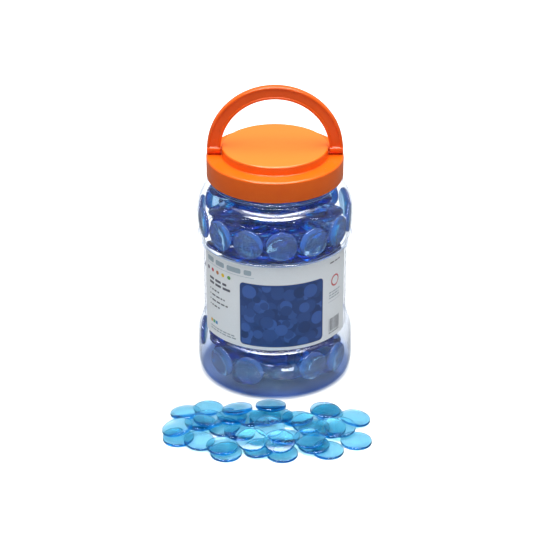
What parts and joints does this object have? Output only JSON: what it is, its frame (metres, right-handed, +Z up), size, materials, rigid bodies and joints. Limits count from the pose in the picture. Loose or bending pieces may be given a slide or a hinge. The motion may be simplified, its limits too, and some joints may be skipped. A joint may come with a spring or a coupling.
{
  "type": "jar of round counters",
  "caption": "Clear plastic jar of translucent blue round counters, with a threaded orange lid, an arched carry handle that folds down, a wrap label, and a small spill of loose counters.",
  "frame": {"origin": "centre of the ring that the jar stands on, at table height", "axes": "+Z up along the jar's axis; the label and the spilled counters face -Y; the handle's hinge runs along X"},
  "size_m": [0.1479, 0.196, 0.2231],
  "materials": {
    "jar_pet": "clear blown plastic, glossy",
    "label_paper": "coated printed paper",
    "lid_plastic": "moulded, satin",
    "handle_plastic": "moulded, satin",
    "liner_foam": "closed-cell foam sheet",
    "counter_plastic": "translucent, polished",
    "fill_plastic": "translucent, polished"
  },
  "bodies": {
    "jar": {"jar_body": "jar_pet", "label": "label_paper", "wall_counters": "fill_plastic", "fill_1": "fill_plastic", "fill_2": "fill_plastic", "fill_3": "fill_plastic", "fill_4": "fill_plastic", "fill_5": "fill_plastic", "fill_6": "fill_plastic"},
    "liner": {"liner": "liner_foam"},
    "lid": {"lid_shell": "lid_plastic"},
    "handle": {"handle": "handle_plastic"},
    "spill": {"counter_01": "counter_plastic", "counter_02": "counter_plastic", "counter_03": "counter_plastic", "counter_04": "counter_plastic", "counter_05": "counter_plastic", "counter_06": "counter_plastic", "counter_07": "counter_plastic", "counter_08": "counter_plastic", "counter_09": "counter_plastic", "counter_10": "counter_plastic", "counter_11": "counter_plastic", "counter_12": "counter_plastic", "counter_13": "counter_plastic", "counter_14": "counter_plastic", "counter_15": "counter_plastic", "counter_16": "counter_plastic", "counter_17": "counter_plastic", "counter_18": "counter_plastic", "counter_19": "counter_plastic", "counter_20": "counter_plastic", "counter_21": "counter_plastic", "counter_22": "counter_plastic", "counter_25": "counter_plastic", "counter_26": "counter_plastic", "counter_27": "counter_plastic", "counter_29": "counter_plastic", "counter_30": "counter_plastic", "counter_33": "counter_plastic", "counter_34": "counter_plastic"},
    "loose_23": {"counter_23": "counter_plastic"},
    "loose_24": {"counter_24": "counter_plastic"},
    "loose_28": {"counter_28": "counter_plastic"},
    "loose_31": {"counter_31": "counter_plastic"},
    "loose_32": {"counter_32": "counter_plastic"},
    "loose_35": {"counter_35": "counter_plastic"}
  },
  "joints": [
    {"name": "lid_lift", "type": "slide", "parent": "jar", "child": "liner", "axis": [0, 0, 1], "range_m": [0, 0.0151]},
    {"name": "lid_turn", "type": "hinge", "parent": "liner", "child": "lid", "pos_m": [0, 0, 0.16], "axis": [0, 0, 1], "range_deg": [0, 1080]},
    {"name": "handle_swing", "type": "hinge", "parent": "lid", "child": "handle", "pos_m": [0, 0, 0.1747], "axis": [1, 0, 0], "range_deg": [-90, 90]},
    {"name": "spill_lift", "type": "slide", "parent": "jar", "child": "spill", "axis": [0, 0, 1], "range_m": [0, 0.04]},
    {"name": "pick_counter_23", "type": "slide", "parent": "spill", "child": "loose_23", "axis": [0, 0, 1], "range_m": [0, 0.03]},
    {"name": "pick_counter_24", "type": "slide", "parent": "spill", "child": "loose_24", "axis": [0, 0, 1], "range_m": [0, 0.03]},
    {"name": "pick_counter_28", "type": "slide", "parent": "spill", "child": "loose_28", "axis": [0, 0, 1], "range_m": [0, 0.03]},
    {"name": "pick_counter_31", "type": "slide", "parent": "spill", "child": "loose_31", "axis": [0, 0, 1], "range_m": [0, 0.03]},
    {"name": "pick_counter_32", "type": "slide", "parent": "spill", "child": "loose_32", "axis": [0, 0, 1], "range_m": [0, 0.03]},
    {"name": "pick_counter_35", "type": "slide", "parent": "spill", "child": "loose_35", "axis": [0, 0, 1], "range_m": [0, 0.03]}
  ],
  "couplings": [
    {"joint": "lid_lift", "follows": "lid_turn", "m_per_rad": 0.00079577}
  ]
}
